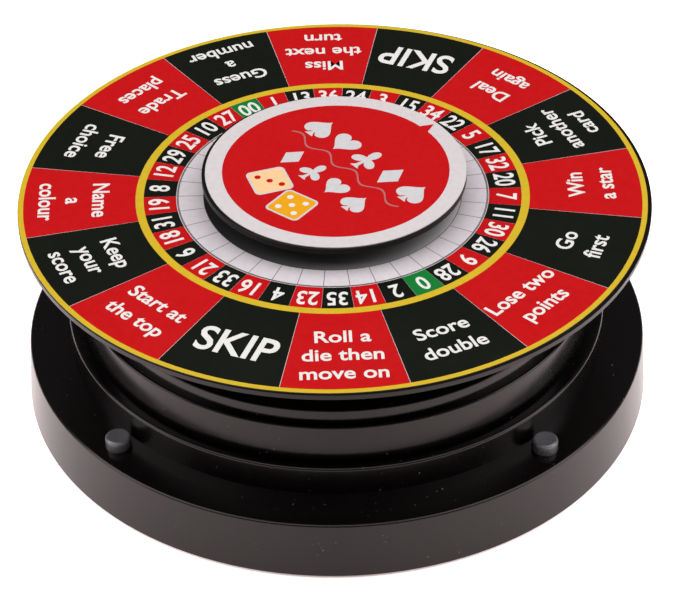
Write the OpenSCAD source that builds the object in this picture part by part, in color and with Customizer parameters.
// Tabletop roulette turntable: a round base with four buttons, a stepped drum,
// a printed wheel turned by a small geared motor, and a pointer disc on a fixed post.
// Millimetres, +Z up, origin on the table at the centre of the base.

/* [Base] */
// Radius of the base wall at its lower edge
base_r_low = 117.2; // [116.4:0.2:119]
// Radius of the base wall at its upper edge
base_r_top = 115.8; // [115.4:0.2:116.2]
// Height of the flat ring above the table, at its outer edge
ring_z = 23.3; // [23.1:0.1:23.9]
// Radius of the ridge that surrounds the drum
ridge_r = 100.3; // [100:0.1:100.6]
// Height of the ridge's top
ridge_z = 35.8; // [35.4:0.2:36.6]
// Height by which the rubber feet lift the case
foot_proud = 1; // [0.9:0.1:1.1]

/* [Drum] */
// Radius of the drum's main wall at the ledge
drum_r = 95.3; // [95.2:0.1:95.8]
// Height of the drum's ledge
ledge_z = 50.7; // [50.2:0.1:50.8]
// Radius of the upper band that stands on the ledge
band_r = 92.8; // [92.4:0.1:93]
// Height of the upper band's top
band_z = 56.2; // [56:0.1:56.4]

/* [Wheel] */
// Radius of the wheel disc
disc_r = 115.8; // [115.7:0.1:116.4]
// Thickness of the wheel disc
disc_t = 1.8; // [1.6:0.1:2.2]
// Radius of the printed sheet
label_r = 115; // [110:0.5:115]
// Thickness of the printed sheet
label_t = 0.5; // [0.3:0.1:0.6]
// Sideways error of the glued sheet
label_shift = -0.7; // [-0.7:0.1:0]
// Height of the printed face above the table
face_z = 82.6; // [82.5:0.1:82.7]

/* [Pointer] */
// Radius of the pointer disc
pointer_r = 48.3; // [48.3:0.1:49]
// Thickness of the pointer disc
pointer_t = 2.2; // [2:0.1:2.6]
// Gap between the wheel's printed face and the pointer disc
pointer_gap = 7.8; // [7.7:0.1:8.2]
// Radius of the printed sheet on the pointer disc
pointer_label_r = 47.6; // [45:0.1:47.6]

/* [Buttons] */
// Radius of a button cap
cap_r = 4.65; // [4.3:0.05:4.7]
// Radius of the circle that the buttons stand on
cap_ring_r = 106.2; // [106:0.1:106.6]
// Height by which a cap stands above the ring
cap_proud = 3.9; // [2.5:0.1:4]

/* [Drive] */
// Width of the slack between meshed teeth
backlash = 0.3; // [0.24:0.02:0.36]

/* [Hidden] */
$fn = 96;

eps = 0.02;
cut = 1;
wall = 2.5;
fit_gap = 0.05;
press_gap = 0.02;

// Case outline
ring_rise = 1.2;
edge_r = 1;
drum_edge_r = 1;
band_edge_r = 0.8;
ridge_edge_r = 1;
ridge_t = 2.2;
seat_z = 33.6;
seat_r = 84;
seat_t = 2.4;
drum_draft = 0.4;
cover_top = foot_proud + wall;
cover_gap = 0.5;
cover_r = base_r_low - wall - cover_gap;
foot_r = 7;
foot_recess = 1;
foot_gap = 0.1;
foot_h = foot_proud + foot_recess - fit_gap;
foot_ring_r = 92;
quarter_angles = [45:90:359];
sixth_angles = [0:60:359];

// Tapping screws: head, shank, hole that takes the thread, hole that clears it
head_r = 3;
head_h = 1.6;
shank_r = 1.4;
thread_r = 1.5;
clear_r = 1.8;
head_gap = 0.05;
head_clearance = 0.3;
slot_length = 1.2;
slot_width = 0.24;
slot_depth = 0.6;
case_screw_r = 108;
case_screw_l = 12;
drum_boss_r = 2.6;
drum_boss_gap = 0.2;
drum_screw_r = band_r - wall - drum_boss_r - drum_boss_gap;
drum_screw_l = 10;
drum_screw_angles = [30:90:359];
plate_shank_r = 1.2;
plate_thread_r = 1.3;
plate_clear_r = 1.6;
plate_screw_l = 11;

// Buttons: the front pair stands 92 degrees apart
button_angles = [-46, 46, 138, 222];
ring_outer_r = base_r_top - edge_r;
cap_floor_z = ring_z + ring_rise * (ring_outer_r - cap_ring_r) / (ring_outer_r - ridge_r);
cap_top = cap_floor_z + cap_proud;
cap_edge_r = 1.1;
cap_hole_gap = 0.25;
stem_r = 2.5;
stem_low = 14.75;
flange_r = 6.2;
flange_t = 1.5;
flange_top = ring_z - wall - fit_gap;
flange_low = flange_top - flange_t;
board_t = 1.6;
button_board_z = 7.6;
button_board_r = 7.2;
button_boss_r = 3;
spring_low = button_board_z + board_t + fit_gap;
spring_high = flange_low - fit_gap;

// Battery bay: three cells side by side, behind a door that slides away in -Y
cell_r = 7.25;
cell_pitch = 15.4;
cell_dip = 0.2;
cell_z = cover_top + cell_r - cell_dip;
cell_body = 49.5;
nub_r = 2.6;
nub_l = 1;
contact_x = 28.2;
contact_t = 0.3;
contact_w = 10;
cell_end = contact_x - fit_gap;
bay_y = -62;
bay_half_x = 28.6;
bay_half_y = 23.6;
bay_wall = 2;
bay_gap = 0.4;
bay_top = cell_z + cell_r + bay_gap;
door_t = 1.6;
door_half_x = 31;
door_half_y = 26;
door_travel = 8;
door_gap = 0.3;
door_lift = 0.1;
door_recess = door_t + door_lift;

// Power switch
switch_at = [48, 62];
switch_size = [16, 8, 5.5];
switch_opening = [13, 5];
slider_sink = 0.6;
slider_low = foot_proud + slider_sink;
slider_size = [4, 4, 3.7];
slider_travel = 4;
slider_gap = 0.2;

// Control board and its parts
board_at = [-25, 62];
board_size = [40, 28];
board_low = 7.5;
board_top = board_low + board_t;
standoff_r = 2.5;
standoff_inset = 3;

// Plate that carries the motor and gears, and the pillars under it
plate_z = 30;
plate_t = 2;
plate_top = plate_z + plate_t;
plate_r = 60;
pillar_r = 4;
pillar_spots = [[52, -10], [-52, -10], [38, 45], [-38, 45]];

// Post
post_r = 4;
post_low = 6;
post_high = 90;
post_socket_r = 8;
post_socket_top = 16;
tip_r = 3;
end_gap = 0.2;
tip_low = face_z + end_gap;
clip_z = 79.2;
clip_t = 0.7;
clip_groove_r = 3.4;
clip_gap = 0.1;

// Gears: motor to reduction 1:4, reduction to wheel 1:5
// The tips and roots are heights past the pitch circle, in parts of the module
slow_module = 1;
fast_module = 0.8;
drive_teeth = 60;
small_teeth = 12;
big_teeth = 40;
pinion_teeth = 10;
axle_gap = 0.05;
pressure_angle = 20;
big_tip = 0.65;
drive_tip = 0.7;
deep_root = 1.25;
shallow_root = 1.1;
gear_overlap = 0.5;
slow_distance = slow_module * (drive_teeth + small_teeth) / 2 + axle_gap;
fast_distance = fast_module * (big_teeth + pinion_teeth) / 2 + axle_gap;
reduction_at = [0, slow_distance];
motor_at = [fast_distance, slow_distance];
fast_gear_z = 33.5;
fast_gear_t = 4.5;
fast_gear_top = fast_gear_z + fast_gear_t;
slow_gear_l = 8;
pin_r = 1.5;
pin_l = 17.5;
drive_gear_z = 40;
drive_gear_t = 5;

// Motor
motor_low = 8;
motor_r = 10;
motor_flat = 15.4;
motor_nose_r = 3;
motor_shaft_r = 1;
motor_shaft_low = 20.1;
motor_shaft_l = 18.6;
motor_shaft_gap = 0.1;
motor_screw_y = 5.5;
motor_screw_shank_r = 0.9;
motor_screw_gap = 0.2;

// Wheel hub
collar_h = 6;
washer_top = 38.8;
hub_low = washer_top + fit_gap;
disc_low = face_z - label_t - disc_t;
tube_r = 9;
bush_r = 6;
bush_l = 8;
counterbore_r = 8;
upper_bush_low = 70;
hub_screw_r = 68;
hub_floor_z = 59.6;
hub_flange_r = 75;
hub_flange_in = 64;
hub_flange_t = 2.5;
hub_screw_shank_r = 1.35;

// Pointer
pointer_low = face_z + pointer_gap;
pointer_top = pointer_low + pointer_t;
pointer_label_t = 0.4;
pointer_label_shift = 0.6;

// Points along an arc, for the rounded edges of turned outlines
function arc_points(centre, radius, from, to, steps = 6) = [
    for (i = [0:steps])
    let (a = from + (to - from) * i / steps)
    [centre[0] + radius * cos(a), centre[1] + radius * sin(a)]
];

// Involute tooth outline: half the tooth's angle at a radius
function inv_deg(a) = tan(a) * 180 / PI - a;
function tooth_half(pitch_r, base_r, pitch_half, r) =
    pitch_half + inv_deg(pressure_angle) - (r > base_r ? inv_deg(acos(base_r / r)) : 0);
function gear_points(teeth, mod, addendum, dedendum) =
    let (
        pitch_r = teeth * mod / 2,
        base_r = pitch_r * cos(pressure_angle),
        root_r = pitch_r - dedendum,
        top_r = pitch_r + addendum,
        pitch_half = 90 / teeth - backlash / 4 / pitch_r * 180 / PI,
        radii = [root_r, max(root_r + eps, base_r), (base_r + pitch_r) / 2 + addendum / 4,
            pitch_r + addendum / 2, top_r]
    )
    [for (i = [0:teeth - 1], side = [-1, 1], k = [0:4])
        let (
            r = side < 0 ? radii[k] : radii[4 - k],
            a = i * 360 / teeth + side * tooth_half(pitch_r, base_r, pitch_half, r)
        )
        [r * cos(a), r * sin(a)]];

// Gear of one width, its first tooth pointing along the given angle
module gear(teeth, mod, addendum, dedendum, thick, angle) {
    rotate(angle)
        linear_extrude(thick)
            polygon(gear_points(teeth, mod, addendum, dedendum));
}

module ring(outer, inner, thick) {
    difference() {
        cylinder(r = outer, h = thick);
        translate([0, 0, -cut])
            cylinder(r = inner, h = thick + 2 * cut);
    }
}

module around(radius, angles) {
    for (a = angles)
        rotate(a)
            translate([radius, 0, 0])
                children();
}

// Pan-head screw that points up from a head below; its cross recess is in parts of the head
module screw_up(head_r, head_h, shank_r, length) {
    difference() {
        union() {
            cylinder(r = head_r, h = head_h);
            cylinder(r = shank_r, h = head_h + length);
        }
        for (turn = [0, 90])
            rotate(turn)
                translate([-head_r * slot_length / 2, -head_r * slot_width / 2, -eps])
                    cube([head_r * slot_length, head_r * slot_width, head_h * slot_depth]);
    }
}

module screw_down(head_r, head_h, shank_r, length) {
    mirror([0, 0, 1])
        screw_up(head_r, head_h, shank_r, length);
}

// Round-wire compression spring between two heights
spring_sides = 6;
spring_steps = 14;
function spring_ring(radius, wire_r, height, turns, i) =
    let (
        n = turns * spring_steps,
        a = 360 * i / spring_steps,
        z = wire_r + (height - 2 * wire_r) * i / n
    )
    [for (s = [0:spring_sides - 1])
        let (b = 360 * s / spring_sides)
        [(radius + wire_r * cos(b)) * cos(a), (radius + wire_r * cos(b)) * sin(a), z + wire_r * sin(b)]];

module spring(radius, wire_r, height, turns) {
    n = turns * spring_steps;
    points = [for (i = [0:n]) each spring_ring(radius, wire_r, height, turns, i)];
    sides = [for (i = [0:n - 1], s = [0:spring_sides - 1])
        let (t = (s + 1) % spring_sides, low = i * spring_sides, high = low + spring_sides)
        [low + s, high + s, high + t, low + t]];
    first = [for (s = [0:spring_sides - 1]) s];
    last = [for (s = [spring_sides - 1:-1:0]) n * spring_sides + s];
    polyhedron(points, concat(sides, [first, last]));
}

// ---- Case ----

module base_shell() {
    profile = concat(
        [[base_r_low, foot_proud]],
        arc_points([base_r_top - edge_r, ring_z - edge_r], edge_r, 0, 90),
        [[ridge_r, ring_z + ring_rise]],
        arc_points([ridge_r - ridge_edge_r, ridge_z - ridge_edge_r], ridge_edge_r, 0, 90),
        [
            [ridge_r - ridge_t, ridge_z],
            [ridge_r - ridge_t, seat_z],
            [seat_r, seat_z],
            [seat_r, seat_z - seat_t],
            [ridge_r - wall, seat_z - seat_t],
            [ridge_r - wall, ring_z + ring_rise - wall],
            [base_r_top - wall, ring_z - wall],
            [base_r_low - wall, foot_proud]
        ]
    );
    boss_r = 4;
    color([0.05, 0.05, 0.05])
        difference() {
            union() {
                rotate_extrude()
                    polygon(profile);
                around(case_screw_r, sixth_angles)
                    translate([0, 0, cover_top])
                        cylinder(r = boss_r, h = ring_z - cover_top - wall / 2);
            }
            around(case_screw_r, sixth_angles)
                translate([0, 0, cover_top - cut])
                    cylinder(r = thread_r, h = case_screw_l + 2 * cut);
            around(drum_screw_r, drum_screw_angles)
                translate([0, 0, seat_z - seat_t - cut])
                    cylinder(r = clear_r, h = seat_t + 2 * cut);
            around(cap_ring_r, button_angles)
                translate([0, 0, ring_z - 2 * wall])
                    cylinder(r = cap_r + cap_hole_gap, h = 4 * wall);
        }
}

module drum_cover() {
    collar_out = 13.5;
    collar_in = 10.5;
    collar_rise = 2.2;
    collar_top = band_z + collar_rise;
    profile = concat(
        [[drum_r + drum_draft, seat_z]],
        arc_points([drum_r - drum_edge_r, ledge_z - drum_edge_r], drum_edge_r, 0, 90),
        [[band_r, ledge_z]],
        arc_points([band_r - band_edge_r, band_z - band_edge_r], band_edge_r, 0, 90),
        [
            [collar_out, band_z],
            [collar_out, collar_top],
            [collar_in, collar_top],
            [collar_in, band_z - wall],
            [band_r - wall, band_z - wall],
            [band_r - wall, ledge_z - wall],
            [drum_r - wall, ledge_z - wall],
            [drum_r + drum_draft - wall, seat_z]
        ]
    );
    color([0.06, 0.06, 0.06])
        difference() {
            union() {
                rotate_extrude()
                    polygon(profile);
                around(drum_screw_r, drum_screw_angles)
                    translate([0, 0, seat_z])
                        cylinder(r = drum_boss_r, h = band_z - wall / 2 - seat_z);
            }
            around(drum_screw_r, drum_screw_angles)
                translate([0, 0, seat_z - cut])
                    cylinder(r = thread_r, h = drum_screw_l + cut);
        }
}

// Boss that stands on the inside of the bottom cover
module cover_boss(radius, top) {
    translate([0, 0, cover_top - wall / 2])
        cylinder(r = radius, h = top - cover_top + wall / 2);
}

module bottom_cover() {
    head_pocket = 1.7;
    opening = 10;
    color([0.08, 0.08, 0.08])
        difference() {
            union() {
                translate([0, 0, foot_proud])
                    cylinder(r = cover_r, h = wall);
                cover_boss(post_socket_r, post_socket_top);
                for (p = pillar_spots)
                    translate(p)
                        cover_boss(pillar_r, plate_z);
                around(cap_ring_r, button_angles)
                    cover_boss(button_boss_r, button_board_z);
                for (x = [standoff_inset, board_size[0] - standoff_inset])
                    for (y = [standoff_inset, board_size[1] - standoff_inset])
                        translate(board_at + [x, y])
                            cover_boss(standoff_r, board_low);
            }
            translate([0, 0, post_low])
                cylinder(r = post_r + fit_gap, h = post_socket_top);
            for (p = pillar_spots)
                translate([p[0], p[1], plate_z - plate_screw_l - cut])
                    cylinder(r = plate_thread_r, h = plate_screw_l + 2 * cut);
            around(case_screw_r, sixth_angles) {
                cylinder(r = clear_r, h = opening);
                cylinder(r = head_r + head_clearance, h = foot_proud + head_pocket);
            }
            around(foot_ring_r, quarter_angles)
                cylinder(r = foot_r + foot_gap, h = foot_proud + foot_recess);
            translate([-door_half_x - door_gap, bay_y - door_half_y - door_travel - door_gap, 0])
                cube([2 * (door_half_x + door_gap), 2 * (door_half_y + door_gap) + door_travel,
                    foot_proud + door_recess]);
            translate([-bay_half_x, bay_y - bay_half_y, 0])
                cube([2 * bay_half_x, 2 * bay_half_y, opening]);
            translate([switch_at[0] - switch_opening[0] / 2, switch_at[1] - switch_opening[1] / 2, 0])
                cube([switch_opening[0], switch_opening[1], opening]);
        }
}

module rubber_feet() {
    dimple_r = 3;
    dimple_h = 0.4;
    color([0.15, 0.15, 0.15])
        around(foot_ring_r, quarter_angles)
            difference() {
                cylinder(r = foot_r, h = foot_h);
                translate([0, 0, -cut])
                    cylinder(r = dimple_r, h = cut + dimple_h);
            }
}

module case_screws() {
    color("silver")
        around(case_screw_r, sixth_angles)
            translate([0, 0, foot_proud + head_gap])
                screw_up(head_r, head_h, shank_r, case_screw_l);
}

module drum_screws() {
    color("silver")
        around(drum_screw_r, drum_screw_angles)
            translate([0, 0, seat_z - seat_t - head_h - head_gap])
                screw_up(head_r, head_h, shank_r, drum_screw_l);
}

// ---- Battery bay and power switch ----

module battery_holder() {
    outer_x = bay_half_x + bay_wall;
    outer_y = bay_half_y + bay_wall;
    color([0.1, 0.1, 0.1])
        difference() {
            translate([-outer_x, bay_y - outer_y, cover_top])
                cube([2 * outer_x, 2 * outer_y, bay_top - cover_top + bay_wall]);
            translate([-bay_half_x, bay_y - bay_half_y, cover_top - cut])
                cube([2 * bay_half_x, 2 * bay_half_y, bay_top - cover_top + cut]);
        }
}

// Places its children at each cell, turning the middle cell end for end
module each_cell() {
    for (i = [-1:1])
        translate([0, bay_y + i * cell_pitch, cell_z])
            rotate(i == 0 ? 180 : 0)
                children();
}

module batteries() {
    color([0.75, 0.6, 0.2])
        each_cell()
            translate([cell_end, 0, 0])
                rotate([0, -90, 0]) {
                    cylinder(r = nub_r, h = nub_l + cut);
                    translate([0, 0, nub_l])
                        cylinder(r = cell_r - fit_gap, h = cell_body);
                }
}

module battery_contacts() {
    color("gold")
        each_cell()
            for (end = [-1, 1])
                translate([end > 0 ? contact_x : -contact_x - contact_t, -contact_w / 2, -contact_w / 2])
                    cube([contact_t, contact_w, contact_w]);
}

module battery_springs() {
    coil_r = 3.4;
    wire_r = 0.4;
    coil_turns = 3;
    length = 2 * contact_x - nub_l - cell_body - 3 * fit_gap;
    color("silver")
        each_cell()
            translate([-contact_x + fit_gap, 0, 0])
                rotate([0, 90, 0])
                    spring(coil_r, wire_r, length, coil_turns);
}

module battery_door() {
    grip_n = 5;
    grip_first = 2;
    grip_l = 16;
    grip_w = 0.9;
    grip_pitch = 2;
    grip_depth = 0.5;
    color([0.08, 0.08, 0.08])
        difference() {
            translate([-door_half_x, bay_y - door_half_y, foot_proud])
                cube([2 * door_half_x, 2 * door_half_y, door_t]);
            for (i = [0:grip_n - 1])
                translate([-grip_l / 2, bay_y - door_half_y + (i + grip_first) * grip_pitch,
                    foot_proud - cut])
                    cube([grip_l, grip_w, cut + grip_depth]);
        }
}

module power_switch_body() {
    channel_spare = 2;
    channel_x = slider_size[0] + slider_travel + channel_spare;
    channel_y = slider_size[1] + 2 * slider_gap;
    channel_depth = 2;
    color([0.2, 0.2, 0.2])
        difference() {
            translate([switch_at[0] - switch_size[0] / 2, switch_at[1] - switch_size[1] / 2, cover_top])
                cube(switch_size);
            translate([switch_at[0] - channel_x / 2, switch_at[1] - channel_y / 2, cover_top - cut])
                cube([channel_x, channel_y, cut + channel_depth]);
        }
}

module power_slider() {
    grip_w = 0.7;
    grip_pitch = 1.5;
    grip_depth = 0.4;
    grip_start = 0.9;
    start = [switch_at[0] - (slider_travel + slider_size[0]) / 2, switch_at[1] - slider_size[1] / 2];
    color([0.7, 0.7, 0.7])
        translate([start[0], start[1], slider_low])
            difference() {
                cube(slider_size);
                for (i = [0:1])
                    translate([grip_start + i * grip_pitch, -cut, -cut])
                        cube([grip_w, slider_size[1] + 2 * cut, cut + grip_depth]);
            }
}

// ---- Electronics ----

module control_board() {
    color([0.1, 0.35, 0.15])
        translate([board_at[0], board_at[1], board_low])
            cube([board_size[0], board_size[1], board_t]);
}

// One chip, one upright capacitor and a row of three resistors
module board_components() {
    chip = [10, 8, 2];
    chip_at = [10, 10];
    capacitor_r = 3;
    capacitor_h = 8;
    capacitor_at = [30, 18];
    resistor = [2, 5, 1.2];
    resistor_at = [25, 4];
    resistor_pitch = 4;
    translate([board_at[0], board_at[1], board_top]) {
        color([0.12, 0.12, 0.12])
            translate(chip_at)
                cube(chip);
        color([0.1, 0.1, 0.4])
            translate(capacitor_at)
                cylinder(r = capacitor_r, h = capacitor_h);
        color([0.75, 0.65, 0.45])
            for (i = [0:2])
                translate(resistor_at + [i * resistor_pitch, 0])
                    cube(resistor);
    }
}

module button_boards() {
    color([0.1, 0.35, 0.15])
        around(cap_ring_r, button_angles)
            translate([0, 0, button_board_z])
                cylinder(r = button_board_r, h = board_t);
}

module button_switches() {
    body = [6, 6, 3.5];
    plunger_r = 1.75;
    plunger_top = 4;
    color([0.2, 0.2, 0.2])
        around(cap_ring_r, button_angles)
            translate([0, 0, button_board_z + board_t]) {
                translate([-body[0] / 2, -body[1] / 2, 0])
                    cube(body);
                cylinder(r = plunger_r, h = plunger_top);
            }
}

module button_spring(angle) {
    coil_r = 5.2;
    wire_r = 0.3;
    coil_turns = 4;
    color("silver")
        around(cap_ring_r, [angle])
            translate([0, 0, spring_low])
                spring(coil_r, wire_r, spring_high - spring_low, coil_turns);
}

module button_cap(angle) {
    profile = concat(
        [[0, stem_low], [stem_r, stem_low], [stem_r, flange_low], [flange_r, flange_low],
            [flange_r, flange_top], [cap_r, flange_top]],
        arc_points([cap_r - cap_edge_r, cap_top - cap_edge_r], cap_edge_r, 0, 90),
        [[0, cap_top]]
    );
    color([0.36, 0.36, 0.37])
        around(cap_ring_r, [angle])
            rotate_extrude()
                polygon(profile);
}

// ---- Motor and gears ----

module at_motor() {
    translate([motor_at[0], motor_at[1], 0])
        children();
}

module at_reduction() {
    translate([reduction_at[0], reduction_at[1], 0])
        children();
}

// Round motor body with two flats, between two heights
module motor_body(radius, flat, low, high) {
    intersection() {
        translate([0, 0, low])
            cylinder(r = radius, h = high - low);
        translate([-radius, -flat / 2, low])
            cube([2 * radius, flat, high - low]);
    }
}

// Children at the two screws that hold the motor
module at_motor_screws() {
    for (side = [-1, 1])
        translate([0, side * motor_screw_y, 0])
            children();
}

module motor_can() {
    nose_h = 1.5;
    thread_l = 4;
    color([0.75, 0.75, 0.77])
        at_motor()
            difference() {
                union() {
                    motor_body(motor_r, motor_flat, motor_low, plate_z);
                    translate([0, 0, plate_z - cut])
                        cylinder(r = motor_nose_r, h = cut + nose_h);
                }
                translate([0, 0, motor_shaft_low - motor_shaft_gap])
                    cylinder(r = motor_shaft_r + fit_gap, h = motor_shaft_l);
                at_motor_screws()
                    translate([0, 0, plate_z - thread_l])
                        cylinder(r = motor_screw_shank_r + fit_gap, h = thread_l + cut);
            }
}

module motor_end_cap() {
    inset = 0.4;
    cap_h = 3;
    color([0.85, 0.85, 0.8])
        at_motor()
            motor_body(motor_r - inset, motor_flat - 2 * inset, motor_low - cap_h, motor_low);
}

module motor_shaft() {
    color("silver")
        at_motor()
            translate([0, 0, motor_shaft_low])
                cylinder(r = motor_shaft_r, h = motor_shaft_l);
}

module motor_pinion() {
    color([0.85, 0.75, 0.3])
        at_motor()
            translate([0, 0, fast_gear_z])
                difference() {
                    gear(pinion_teeth, fast_module, fast_module, shallow_root * fast_module,
                        fast_gear_t, 180 - 180 / pinion_teeth);
                    translate([0, 0, -cut])
                        cylinder(r = motor_shaft_r + press_gap, h = fast_gear_t + 2 * cut);
                }
}

module motor_screws() {
    small_head_r = 1.7;
    small_head_h = 1.2;
    length = 5;
    color("silver")
        at_motor()
            at_motor_screws()
                translate([0, 0, plate_top + small_head_h + head_gap])
                    screw_down(small_head_r, small_head_h, motor_screw_shank_r, length);
}

module gear_plate() {
    deep = plate_t + 2 * cut;
    color([0.6, 0.62, 0.65])
        difference() {
            translate([0, 0, plate_z])
                cylinder(r = plate_r, h = plate_t);
            translate([0, 0, plate_z - cut])
                cylinder(r = post_r + fit_gap, h = deep);
            at_reduction()
                translate([0, 0, plate_z - cut])
                    cylinder(r = pin_r + press_gap, h = deep);
            at_motor()
                translate([0, 0, plate_z - cut]) {
                    cylinder(r = motor_nose_r + fit_gap, h = deep);
                    at_motor_screws()
                        cylinder(r = motor_screw_shank_r + motor_screw_gap, h = deep);
                }
            for (p = pillar_spots)
                translate([p[0], p[1], plate_z - cut])
                    cylinder(r = plate_clear_r, h = deep);
        }
}

module plate_screws() {
    color("silver")
        for (p = pillar_spots)
            translate([p[0], p[1], plate_top + head_h + head_gap])
                screw_down(head_r, head_h, plate_shank_r, plate_screw_l);
}

module reduction_shaft() {
    color("silver")
        at_reduction()
            translate([0, 0, plate_z])
                cylinder(r = pin_r, h = pin_l);
}

module reduction_gear() {
    color([0.92, 0.92, 0.88])
        at_reduction()
            difference() {
                union() {
                    translate([0, 0, fast_gear_z])
                        gear(big_teeth, fast_module, big_tip * fast_module, deep_root * fast_module,
                            fast_gear_t, 0);
                    translate([0, 0, fast_gear_top - gear_overlap])
                        gear(small_teeth, slow_module, slow_module, shallow_root * slow_module,
                            slow_gear_l + gear_overlap, 270 - 180 / small_teeth);
                }
                translate([0, 0, fast_gear_z - cut])
                    cylinder(r = pin_r + fit_gap, h = fast_gear_t + slow_gear_l + 2 * cut);
            }
}

module shaft_clip() {
    clip_r = 3;
    color([0.3, 0.3, 0.3])
        at_reduction()
            translate([0, 0, fast_gear_top + slow_gear_l + clip_gap])
                ring(clip_r, pin_r + press_gap, clip_t);
}

module drive_gear() {
    hole_r = 5;
    hole_ring_r = 18.5;
    color([0.92, 0.92, 0.88])
        translate([0, 0, drive_gear_z])
            difference() {
                gear(drive_teeth, slow_module, drive_tip * slow_module, deep_root * slow_module,
                    drive_gear_t, 0);
                translate([0, 0, -cut])
                    cylinder(r = tube_r + press_gap, h = drive_gear_t + 2 * cut);
                around(hole_ring_r, sixth_angles)
                    translate([0, 0, -cut])
                        cylinder(r = hole_r, h = drive_gear_t + 2 * cut);
            }
}

// ---- Turning wheel ----

module wheel_hub() {
    tube_top_r = 11;
    cone_low_r = 40;
    cone_in_r = 39;
    cone_top_r = 72;
    shell_t = 2.4;
    lip_t = 1.2;
    profile = [
        [bush_r, hub_low],
        [tube_r, hub_low],
        [tube_r, hub_floor_z],
        [cone_low_r, hub_floor_z],
        [cone_top_r, disc_low - hub_flange_t],
        [hub_flange_r, disc_low - hub_flange_t],
        [hub_flange_r, disc_low],
        [hub_flange_in, disc_low],
        [hub_flange_in, disc_low - hub_flange_t - lip_t],
        [cone_in_r, hub_floor_z + shell_t],
        [tube_top_r, hub_floor_z + shell_t],
        [tube_top_r, disc_low],
        [counterbore_r, disc_low],
        [counterbore_r, upper_bush_low + bush_l],
        [bush_r, upper_bush_low + bush_l]
    ];
    color([0.1, 0.1, 0.1])
        difference() {
            rotate_extrude()
                polygon(profile);
            around(hub_screw_r, quarter_angles)
                translate([0, 0, disc_low - 2 * hub_flange_t])
                    cylinder(r = hub_screw_shank_r + fit_gap, h = 4 * hub_flange_t);
        }
}

module lower_bush() {
    color([0.72, 0.55, 0.2])
        translate([0, 0, hub_low])
            ring(bush_r - press_gap, post_r + fit_gap, bush_l);
}

module upper_bush() {
    color([0.72, 0.55, 0.2])
        translate([0, 0, upper_bush_low])
            ring(bush_r - press_gap, post_r + fit_gap, bush_l);
}

// Countersunk screws, flush with the disc
module hub_screws() {
    flat_head_r = 2.8;
    flat_head_h = 1.4;
    length = 6.4;
    slot = [3, 0.6, 0.8];
    color("silver")
        around(hub_screw_r, quarter_angles)
            translate([0, 0, disc_low + disc_t - head_gap])
                mirror([0, 0, 1])
                    difference() {
                        union() {
                            cylinder(r1 = flat_head_r, r2 = hub_screw_shank_r, h = flat_head_h);
                            cylinder(r = hub_screw_shank_r, h = length);
                        }
                        for (turn = [0, 90])
                            rotate(turn)
                                translate([-slot[0] / 2, -slot[1] / 2, -eps])
                                    cube(slot);
                    }
}

module wheel_disc() {
    sink_r = 3;
    sink_h = 1.5;
    color([0.05, 0.05, 0.05])
        translate([0, 0, disc_low])
            difference() {
                cylinder(r = disc_r, h = disc_t);
                translate([0, 0, -cut])
                    cylinder(r = counterbore_r, h = disc_t + 2 * cut);
                around(hub_screw_r, quarter_angles) {
                    translate([0, 0, -cut])
                        cylinder(r = thread_r, h = disc_t + 2 * cut);
                    translate([0, 0, disc_t - sink_h])
                        cylinder(r1 = thread_r, r2 = sink_r, h = sink_h + eps);
                }
            }
}

module wheel_label() {
    color([0.8, 0.1, 0.1])
        translate([0, 0, face_z - label_t])
            difference() {
                translate([label_shift, 0, 0])
                    cylinder(r = label_r, h = label_t);
                translate([0, 0, -cut])
                    cylinder(r = counterbore_r, h = label_t + 2 * cut);
            }
}

// ---- Fixed post and pointer ----

module centre_post() {
    groove_top = clip_z + clip_t + clip_gap;
    profile = [
        [0, post_low], [post_r, post_low], [post_r, clip_z], [clip_groove_r, clip_z],
        [clip_groove_r, groove_top], [post_r, groove_top], [post_r, tip_low], [tip_r, tip_low],
        [tip_r, post_high], [0, post_high]
    ];
    color("silver")
        rotate_extrude()
            polygon(profile);
}

module post_collar() {
    collar_r = 6.5;
    color([0.8, 0.8, 0.78])
        translate([0, 0, plate_top])
            ring(collar_r, post_r + fit_gap, collar_h);
}

module thrust_washer() {
    washer_r = 8;
    color([0.9, 0.9, 0.85])
        translate([0, 0, plate_top + collar_h])
            ring(washer_r, post_r + fit_gap, washer_top - plate_top - collar_h);
}

module post_clip() {
    clip_r = 6.6;
    color([0.3, 0.3, 0.3])
        translate([0, 0, clip_z + fit_gap])
            ring(clip_r, clip_groove_r + fit_gap, clip_t);
}

// Flat disc with six ribs underneath; its boss turns on the post's tip
module pointer_disc() {
    boss_r = 9;
    rim_edge_r = 0.3;
    rib_w = 1.2;
    rib_h = 3;
    rib_end = 32;
    rib_root = 0.5;
    boss_low = tip_low + fit_gap;
    bore_r = tip_r + fit_gap;
    bore_top = post_high + end_gap;
    profile = concat(
        [[pointer_r, pointer_low], [boss_r, pointer_low], [boss_r, boss_low], [bore_r, boss_low],
            [bore_r, bore_top], [0, bore_top], [0, pointer_top]],
        arc_points([pointer_r - rim_edge_r, pointer_top - rim_edge_r], rim_edge_r, 90, 0, 4)
    );
    color([0.06, 0.06, 0.06])
        union() {
            rotate_extrude()
                polygon(profile);
            for (a = sixth_angles)
                rotate(a)
                    translate([boss_r - rib_root, -rib_w / 2, pointer_low - rib_h])
                        cube([rib_end - boss_r + rib_root, rib_w, rib_h + rib_root]);
        }
}

module pointer_label() {
    color([0.9, 0.9, 0.9])
        translate([pointer_label_shift, 0, pointer_top])
            cylinder(r = pointer_label_r, h = pointer_label_t);
}

// ---- Leads ----

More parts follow.
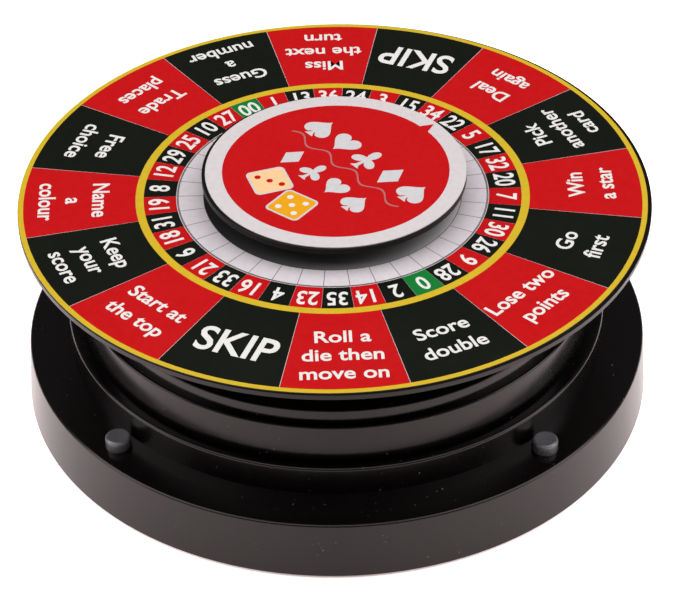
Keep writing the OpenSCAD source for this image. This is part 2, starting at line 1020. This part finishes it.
// Round lead swept along hand-chosen points, none of whose stretches is vertical
lead_sides = 8;
lead_r = 0.6;
function unit(v) = v / norm(v);
function lead_direction(points, i) =
    unit(points[min(i + 1, len(points) - 1)] - points[max(i - 1, 0)]);
function lead_ring(points, i) =
    let (
        along = lead_direction(points, i),
        side = unit(cross([0, 0, 1], along)),
        up = cross(along, side)
    )
    [for (s = [0:lead_sides - 1])
        let (b = 360 * s / lead_sides)
        points[i] + lead_r * (cos(b) * side + sin(b) * up)];

module lead(points) {
    n = len(points) - 1;
    rings = [for (i = [0:n]) each lead_ring(points, i)];
    sides = [for (i = [0:n - 1], s = [0:lead_sides - 1])
        let (t = (s + 1) % lead_sides, low = i * lead_sides, high = low + lead_sides)
        [low + s, high + s, high + t, low + t]];
    first = [for (s = [0:lead_sides - 1]) s];
    last = [for (s = [lead_sides - 1:-1:0]) n * lead_sides + s];
    polyhedron(rings, concat(sides, [first, last]));
}

battery_lead = [[30.65, -50, 14], [36, -50, 13], [42, -30, 8], [44, 0, 7], [44, 30, 7], [46, 45, 7],
    [42, 53, 7], [34, 56, 7.5], [20, 60, 10.5], [14, 66, 9.9], [12.5, 72, 9.75]];
motor_lead = [[10.4, 36.05, 6.5], [6, 37, 6.5], [2, 46, 7], [1, 56, 9.9], [-1, 61, 10.2],
    [-2.5, 65, 9.8], [-3, 69, 9.75]];
switch_lead = [[39.95, 62, 6.5], [34, 62, 7.5], [24, 64, 10], [18, 70, 10.3], [13.5, 75, 9.9],
    [12.5, 79, 9.75]];

module wire_harness() {
    color([0.7, 0.1, 0.1])
        lead(battery_lead);
    color([0.1, 0.1, 0.1])
        lead(motor_lead);
    color([0.8, 0.7, 0.1])
        lead(switch_lead);
}

base_shell();
drum_cover();
bottom_cover();
rubber_feet();
case_screws();
drum_screws();
battery_holder();
batteries();
battery_contacts();
battery_springs();
battery_door();
power_switch_body();
power_slider();
control_board();
board_components();
button_boards();
button_switches();
button_spring(button_angles[0]);  // button_spring_front_right
button_spring(button_angles[1]);  // button_spring_rear_right
button_spring(button_angles[2]);  // button_spring_rear_left
button_spring(button_angles[3]);  // button_spring_front_left
button_cap(button_angles[0]);  // button_cap_front_right
button_cap(button_angles[1]);  // button_cap_rear_right
button_cap(button_angles[2]);  // button_cap_rear_left
button_cap(button_angles[3]);  // button_cap_front_left
motor_can();
motor_end_cap();
motor_shaft();
motor_pinion();
motor_screws();
gear_plate();
plate_screws();
reduction_shaft();
reduction_gear();
shaft_clip();
drive_gear();
wheel_hub();
lower_bush();
upper_bush();
hub_screws();
wheel_disc();
wheel_label();
centre_post();
post_collar();
thrust_washer();
post_clip();
pointer_disc();
pointer_label();
wire_harness();
